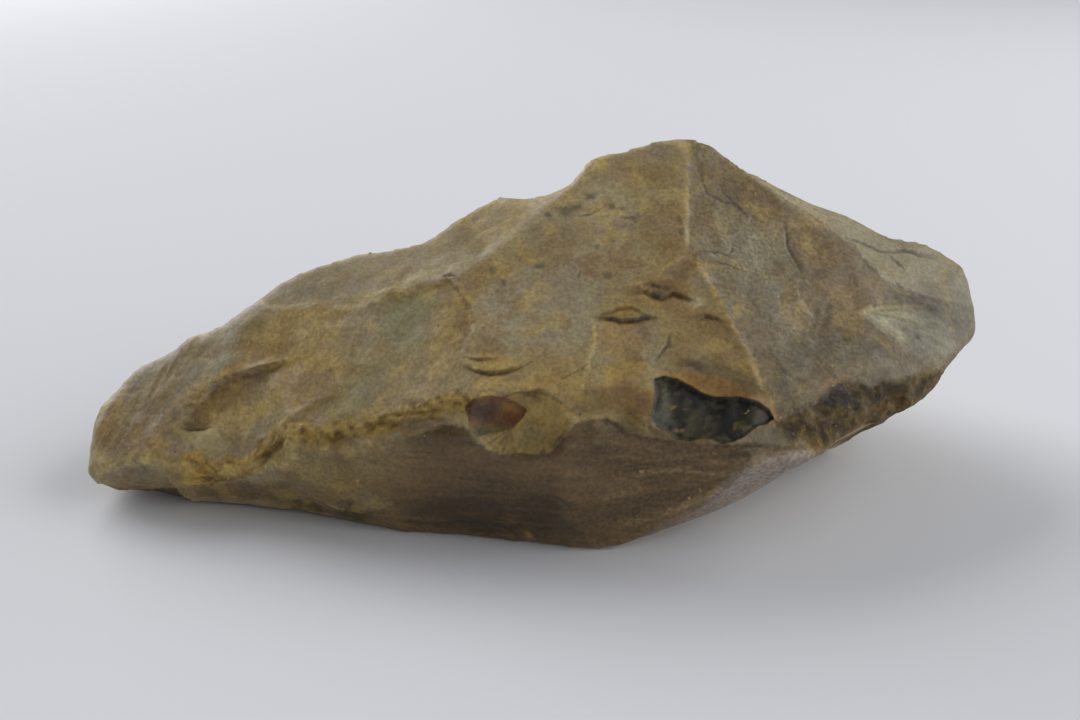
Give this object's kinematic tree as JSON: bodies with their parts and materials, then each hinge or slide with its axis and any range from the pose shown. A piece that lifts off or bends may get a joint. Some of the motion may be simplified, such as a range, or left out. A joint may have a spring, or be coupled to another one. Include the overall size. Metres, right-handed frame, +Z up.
{
  "type": "stone hand axe",
  "caption": "Ancient stone hand axe flaked on both faces to a point, with a high-backed butt and a worn cutting edge, lying on its flatter face.",
  "frame": {"origin": "middle of the axe's outline seen from above, at the height of the surface that it lies on", "axes": "+X from the point to the butt, +Y away from the worked front edge, +Z up from the flatter face"},
  "size_m": [0.155, 0.0768, 0.0583],
  "materials": {
    "flint": "worn olive-grey flint with a soft sheen, brown stain and patches of rough rind"
  },
  "bodies": {
    "root": {"hand_axe": "flint"}
  },
  "joints": []
}
